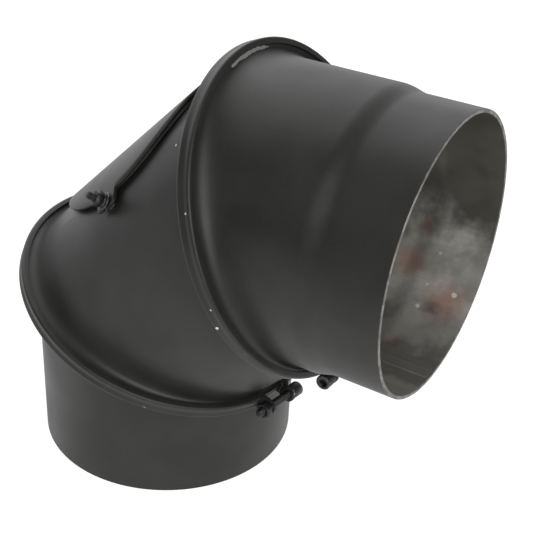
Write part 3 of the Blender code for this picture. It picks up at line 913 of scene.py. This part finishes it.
def cover_outline():
    """The oval with its two tabs, as laid out flat, along and across the segment."""
    half_length = OPENING_LENGTH / 2 + COVER_LAP
    half_width = OPENING_WIDTH / 2 + COVER_LAP
    tab_end = STUD_ARC + TAB_PAST_STUD
    corner = TAB_HALF_WIDTH * 0.3
    meet = math.acos(TAB_HALF_WIDTH / half_length)
    quarter = [(half_length * math.cos(meet * i / 24), half_width * math.sin(meet * i / 24))
               for i in range(25)]
    quarter += [(TAB_HALF_WIDTH - corner + corner * math.cos(math.radians(a)),
                 tab_end - corner + corner * math.sin(math.radians(a)))
                for a in (0, 22.5, 45, 67.5, 90)]
    quarter += [(TAB_HALF_WIDTH * 0.35, tab_end)]
    top = quarter + [(-along, across) for along, across in reversed(quarter)][:-1]
    return top + [(-along, -across) for along, across in top]


cover_inside = COVER_RADIUS - COVER_SHEET
cover_paint = stove_paint("cover_paint", middle_axes)
cover = piece_from("inspection_cover_sheet",
                   rolled_blank(cover_outline(), cover_inside, COVER_RADIUS, rings=14,
                                broken=COVER_BROKEN_EDGE),
                   middle_axes, [cover_paint, cover_paint], crease=50)


def fork_slot(direction):
    """A round-ended slot, open at the end of the tab, as a block through the sheet."""
    flat = [(SLOT_HALF_WIDTH * math.cos(math.radians(a)),
             STUD_ARC - SLOT_HALF_WIDTH * math.sin(math.radians(a)))
            for a in range(0, 181, 15)]
    flat += [(-SLOT_HALF_WIDTH, STUD_ARC + 3 * TAB_PAST_STUD),
             (SLOT_HALF_WIDTH, STUD_ARC + 3 * TAB_PAST_STUD)]
    bm = bmesh.new()
    loops = [[bm.verts.new(heel_point(along, direction * across, radius))
              for along, across in flat]
             for radius in (cover_inside - COVER_SHEET, COVER_RADIUS + COVER_SHEET)]
    bm.faces.new(loops[0])
    bm.faces.new(loops[1])
    for i in range(len(flat)):
        k = (i + 1) % len(flat)
        bm.faces.new((loops[0][i], loops[0][k], loops[1][k], loops[1][i]))
    return bm


for name, direction in (("front", -1), ("back", 1)):
    punch = piece_from(name + "_slot_punch", fork_slot(direction), middle_axes,
                       [cover_paint])
    cut_away(cover, punch)
    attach(punch, "cover")
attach(cover, "cover")
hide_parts("inspection_cover")


# ---------------------------------------------------------------- cover fixings
# At each side of the cover a blackened M5 stud is welded to the heel. A flat washer, a split
# spring washer and a plain nut hold the cover's forked tab down on it, and the stud stands past.

WASHER_SEAT = COVER_RADIUS + 0.0003
WASHER_RADIUS, WASHER_THICKNESS = 0.005, 0.001
SPRING_SEAT = WASHER_SEAT + WASHER_THICKNESS + 0.0003
SPRING_RADIUS, SPRING_THICKNESS = 0.0045, 0.0012
COVER_NUT_SEAT = SPRING_SEAT + SPRING_THICKNESS + 0.0003
COVER_NUT_HEIGHT = 0.004
STUD_PAST_NUT = 0.004
FIXING_BORE = THREAD_RADIUS + 0.00015


def flat_washer(name, axes, finish):
    rim = WASHER_RADIUS
    broken = 0.0002
    low = WASHER_SEAT
    high = low + WASHER_THICKNESS
    return lathe(name, [(FIXING_BORE, low), (rim - broken, low), (rim, low + broken),
                        (rim, high - broken), (rim - broken, high), (FIXING_BORE + broken, high),
                        (FIXING_BORE, high - broken)],
                 axes, finish, 56, worn=lambda j: 0.55 if j in (3, 4) else 0.3)


def split_washer(name, axes, finish):
    """A square wire wound once, its ends cut on the slant and sprung a little apart."""
    steps, spring = 54, 0.00015
    e = 0.00018
    low = SPRING_SEAT
    rows = []
    for j in range(steps + 1):
        share = j / steps
        turn = 2 * math.pi * (0.015 + 0.97 * share)
        rise = spring * (share - 0.5)
        z0, z1 = low + spring / 2 + rise, low + SPRING_THICKNESS - spring / 2 + rise
        section = [(FIXING_BORE + e, z0), (SPRING_RADIUS - e, z0), (SPRING_RADIUS, z0 + e),
                   (SPRING_RADIUS, z1 - e), (SPRING_RADIUS - e, z1), (FIXING_BORE + e, z1),
                   (FIXING_BORE, z1 - e), (FIXING_BORE, z0 + e)]
        slant = 0.10
        row = []
        for radius, height in section:
            lean = slant * (height - low) / SPRING_THICKNESS
            row.append((radius * math.cos(turn + lean), radius * math.sin(turn + lean), height))
        rows.append(row)
    bm = skin(rows, closed=False, rubbed=lambda j, i: 0.5 if i in (2, 3, 4) else 0.3)
    bm.verts.ensure_lookup_table()
    for first in (0, steps * 8):
        bm.faces.new([bm.verts[first + i] for i in range(8)])
    return piece_from(name, bm, axes, [finish], crease=40)


for name in ("front", "back"):
    way = Vector(joints[name + "_nut_turn"]["axis"])
    fixing_axes = axes_at(middle_centre, way, upper_centre - lower_centre)
    steel = blackened_steel(name + "_fixing_steel", fixing_axes)
    stud = threaded(THREAD_RADIUS - 0.00015, TUBE_RADIUS + 0.0003,
                    COVER_NUT_SEAT + COVER_NUT_HEIGHT + STUD_PAST_NUT,
                    name + "_stud_thread", fixing_axes, steel)
    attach(stud, "middle_pipe")
    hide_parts(name + "_cover_stud")
    bead = lathe(name + "_stud_weld", [
        (0.0, TUBE_RADIUS - 0.0006), (THREAD_RADIUS + 0.0006, TUBE_RADIUS - 0.0006),
        (THREAD_RADIUS + 0.0004, TUBE_RADIUS + 0.0002), (THREAD_RADIUS, TUBE_RADIUS + 0.0008),
        (0.0, TUBE_RADIUS + 0.0008)], fixing_axes, steel, 40)
    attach(bead, "middle_pipe")
    washer = flat_washer(name + "_flat_washer", fixing_axes, steel)
    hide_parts(name + "_washer")
    spring = split_washer(name + "_split_washer", fixing_axes, steel)
    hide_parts(name + "_spring_washer")
    for part in (washer, spring):
        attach(part, name + "_fixing")
    nut_axes = (fixing_axes @ Matrix.Translation((0, 0, COVER_NUT_SEAT))
                @ Matrix.Rotation(math.pi / 6, 4, "Z"))
    nut, tools = hexagon_nut(name + "_cover_hex_nut", nut_axes, steel, NUT_FLATS,
                             COVER_NUT_HEIGHT, FIXING_BORE)
    for part in [nut] + tools:
        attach(part, name + "_nut")
    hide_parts(name + "_cover_nut")


# ---------------------------------------------------------------- floor, light and camera
# A white studio table that glows with painted light of its own, strongest in a pool near the elbow
# and duller further off, in a room that is brightest at the back left. Two broad soft lamps hang at
# the back left and the front right, and the camera looks down at the outlet side.

floor_bm = bmesh.new()
bmesh.ops.create_circle(floor_bm, cap_ends=True, segments=96, radius=9.0)
floor_finish, floor_tree, floor_shader = start_finish("studio_floor")
POOL_CENTRE, POOL_RADIUS, POOL_EDGE = (-0.2, 0.45, 0.0), 0.75, 1.5
floor_shader.inputs["Base Color"].default_value = (0.22, 0.22, 0.22, 1.0)
floor_shader.inputs["Roughness"].default_value = 0.7
floor_shader.inputs["Emission Color"].default_value = (1.0, 1.0, 1.0, 1.0)
out_from_pool = floor_tree.nodes.new("ShaderNodeVectorMath")
out_from_pool.operation = "DISTANCE"
plug(floor_tree, out_from_pool.inputs[0],
     floor_tree.nodes.new("ShaderNodeTexCoord").outputs["Object"])
out_from_pool.inputs[1].default_value = POOL_CENTRE
# Painted light: the floor's own glow, strongest in a pool round the elbow, washes out the shadows the lamps cast
# on it.
plug(floor_tree, floor_shader.inputs["Emission Strength"],
     between(floor_tree, out_from_pool.outputs["Value"], POOL_RADIUS, POOL_EDGE, 0.90, 0.40))
floor = piece_from("studio_floor", floor_bm, Matrix.Translation((0, 0, -0.0004)), [floor_finish])

ROOM_BRIGHT_SIDE = Vector((-0.78, 0.60, 0.15)).normalized()
world = bpy.data.worlds.new("studio_room")
bpy.context.scene.world = world
world.use_nodes = True
room = world.node_tree
looking = room.nodes.new("ShaderNodeVectorMath")
looking.operation = "DOT_PRODUCT"
plug(room, looking.inputs[0], room.nodes.new("ShaderNodeTexCoord").outputs["Generated"])
looking.inputs[1].default_value = ROOM_BRIGHT_SIDE
room.nodes["Background"].inputs["Color"].default_value = (0.98, 0.98, 1.0, 1.0)
plug(room, room.nodes["Background"].inputs["Strength"],
     between(room, looking.outputs["Value"], 0.35, 1.0, 0.26, 1.5))


def soft_light(name, place, aim, size, watts):
    lamp = bpy.data.lights.new(name, "AREA")
    lamp.shape = "DISK"
    lamp.size = size
    lamp.energy = watts
    holder = bpy.data.objects.new(name, lamp)
    bpy.context.scene.collection.objects.link(holder)
    holder.location = place
    holder.rotation_euler = (Vector(aim) - Vector(place)).to_track_quat("-Z", "Y").to_euler()


soft_light("overhead_softbox", (-1.15, 0.80, 1.80), (0, 0, 0.1), 2.2, 20)
soft_light("front_softbox", (1.15, -1.00, 1.10), (0, 0, 0.1), 1.8, 30)

CAMERA_TURN, CAMERA_RISE, CAMERA_ROLL = (math.radians(v) for v in (30.48, 29.79, 3.18))
CAMERA_AIM = Vector((0.0324, -0.0146, 0.1388))
CAMERA_DISTANCE = 0.5613
CAMERA_LENS, CAMERA_FILM = 70.58, 36.0

to_right = Vector((math.cos(CAMERA_TURN), math.sin(CAMERA_TURN), 0))
to_back = Vector((math.sin(CAMERA_TURN) * math.cos(CAMERA_RISE),
                  -math.cos(CAMERA_TURN) * math.cos(CAMERA_RISE), math.sin(CAMERA_RISE)))
level = Matrix((to_right, to_back.cross(to_right), to_back)).transposed()
lens = bpy.data.cameras.new("camera")
lens.lens = CAMERA_LENS
lens.sensor_width = CAMERA_FILM
lens.clip_start = 0.02
camera = bpy.data.objects.new("camera", lens)
bpy.context.scene.collection.objects.link(camera)
camera.matrix_world = (Matrix.Translation(CAMERA_AIM + to_back * CAMERA_DISTANCE)
                       @ (level @ Matrix.Rotation(CAMERA_ROLL, 3, "Z")).to_4x4())
bpy.context.scene.camera = camera
bpy.context.scene.view_settings.view_transform = "Standard"
